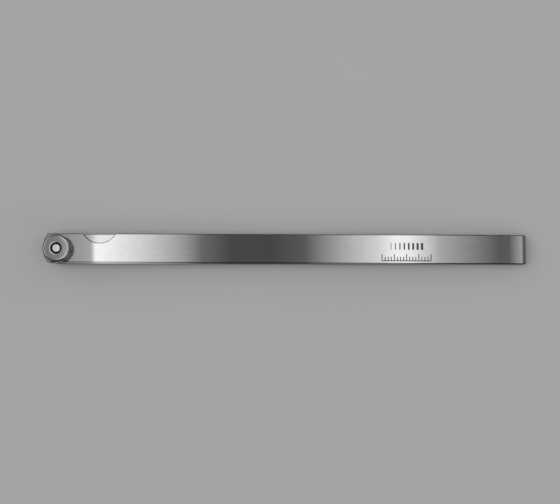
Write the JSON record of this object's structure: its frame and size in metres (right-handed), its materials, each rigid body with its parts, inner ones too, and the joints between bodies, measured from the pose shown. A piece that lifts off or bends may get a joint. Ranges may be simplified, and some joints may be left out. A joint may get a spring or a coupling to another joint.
{
  "type": "feeler gauge",
  "caption": "Feeler gauge: a stack of long thickness leaves that swing out of a folded steel case on a pivot screw, clamped by a knurled nut.",
  "frame": {"origin": "on the pivot axis, in the plane of the screw head's underside", "axes": "+X along the case from the pivot to its closed end, +Y towards the long edge with the thumb notch, +Z along the pivot axis from the screw head to the knurled nut"},
  "size_m": [0.2135, 0.0135, 0.013],
  "materials": {
    "brushed_case": "stainless steel, brushed along its length",
    "leaf_steel": "ground and polished spring steel",
    "turned_nut": "turned face with a knurled rim",
    "screw_steel": "bright machined end",
    "washer_steel": "stamped, dull"
  },
  "bodies": {
    "case": {"case": "brushed_case", "pivot_screw": "screw_steel"},
    "washer": {"washer": "washer_steel"},
    "knurled_nut": {"knurled_nut": "turned_nut"},
    "leaf_1_00": {"leaf_1_00": "leaf_steel"},
    "leaf_0_02": {"leaf_0_02": "leaf_steel"},
    "leaf_0_03": {"leaf_0_03": "leaf_steel"},
    "leaf_0_04": {"leaf_0_04": "leaf_steel"},
    "leaf_0_05": {"leaf_0_05": "leaf_steel"},
    "leaf_0_06": {"leaf_0_06": "leaf_steel"},
    "leaf_0_07": {"leaf_0_07": "leaf_steel"},
    "leaf_0_08": {"leaf_0_08": "leaf_steel"},
    "leaf_0_09": {"leaf_0_09": "leaf_steel"},
    "leaf_0_10": {"leaf_0_10": "leaf_steel"},
    "leaf_0_15": {"leaf_0_15": "leaf_steel"},
    "leaf_0_20": {"leaf_0_20": "leaf_steel"},
    "leaf_0_25": {"leaf_0_25": "leaf_steel"},
    "leaf_0_30": {"leaf_0_30": "leaf_steel"},
    "leaf_0_40": {"leaf_0_40": "leaf_steel"},
    "leaf_0_50": {"leaf_0_50": "leaf_steel"},
    "leaf_0_75": {"leaf_0_75": "leaf_steel"}
  },
  "joints": [
    {"name": "clamp_washer_lift", "type": "slide", "parent": "case", "child": "washer", "axis": [0, 0, 1], "range_m": [0, 0.0028]},
    {"name": "clamp_nut_turn", "type": "hinge", "parent": "washer", "child": "knurled_nut", "pos_m": [0, 0, 0.00717], "axis": [0, 0, 1], "range_deg": [0, 1440]},
    {"name": "leaf_1_00_swing", "type": "hinge", "parent": "case", "child": "leaf_1_00", "pos_m": [0, 0, 0.0013], "axis": [0, 0, 1], "continuous": true},
    {"name": "leaf_0_02_swing", "type": "hinge", "parent": "case", "child": "leaf_0_02", "pos_m": [0, 0, 0.0013], "axis": [0, 0, 1], "continuous": true},
    {"name": "leaf_0_03_swing", "type": "hinge", "parent": "case", "child": "leaf_0_03", "pos_m": [0, 0, 0.0013], "axis": [0, 0, 1], "continuous": true},
    {"name": "leaf_0_04_swing", "type": "hinge", "parent": "case", "child": "leaf_0_04", "pos_m": [0, 0, 0.0013], "axis": [0, 0, 1], "continuous": true},
    {"name": "leaf_0_05_swing", "type": "hinge", "parent": "case", "child": "leaf_0_05", "pos_m": [0, 0, 0.0013], "axis": [0, 0, 1], "continuous": true},
    {"name": "leaf_0_06_swing", "type": "hinge", "parent": "case", "child": "leaf_0_06", "pos_m": [0, 0, 0.0013], "axis": [0, 0, 1], "continuous": true},
    {"name": "leaf_0_07_swing", "type": "hinge", "parent": "case", "child": "leaf_0_07", "pos_m": [0, 0, 0.0013], "axis": [0, 0, 1], "continuous": true},
    {"name": "leaf_0_08_swing", "type": "hinge", "parent": "case", "child": "leaf_0_08", "pos_m": [0, 0, 0.0013], "axis": [0, 0, 1], "continuous": true},
    {"name": "leaf_0_09_swing", "type": "hinge", "parent": "case", "child": "leaf_0_09", "pos_m": [0, 0, 0.0013], "axis": [0, 0, 1], "continuous": true},
    {"name": "leaf_0_10_swing", "type": "hinge", "parent": "case", "child": "leaf_0_10", "pos_m": [0, 0, 0.0013], "axis": [0, 0, 1], "continuous": true},
    {"name": "leaf_0_15_swing", "type": "hinge", "parent": "case", "child": "leaf_0_15", "pos_m": [0, 0, 0.0013], "axis": [0, 0, 1], "continuous": true},
    {"name": "leaf_0_20_swing", "type": "hinge", "parent": "case", "child": "leaf_0_20", "pos_m": [0, 0, 0.0013], "axis": [0, 0, 1], "continuous": true},
    {"name": "leaf_0_25_swing", "type": "hinge", "parent": "case", "child": "leaf_0_25", "pos_m": [0, 0, 0.0013], "axis": [0, 0, 1], "continuous": true},
    {"name": "leaf_0_30_swing", "type": "hinge", "parent": "case", "child": "leaf_0_30", "pos_m": [0, 0, 0.0013], "axis": [0, 0, 1], "continuous": true},
    {"name": "leaf_0_40_swing", "type": "hinge", "parent": "case", "child": "leaf_0_40", "pos_m": [0, 0, 0.0013], "axis": [0, 0, 1], "continuous": true},
    {"name": "leaf_0_50_swing", "type": "hinge", "parent": "case", "child": "leaf_0_50", "pos_m": [0, 0, 0.0013], "axis": [0, 0, 1], "continuous": true},
    {"name": "leaf_0_75_swing", "type": "hinge", "parent": "case", "child": "leaf_0_75", "pos_m": [0, 0, 0.0013], "axis": [0, 0, 1], "continuous": true}
  ],
  "couplings": [
    {"joint": "clamp_washer_lift", "follows": "clamp_nut_turn", "m_per_rad": 0.0001114}
  ]
}
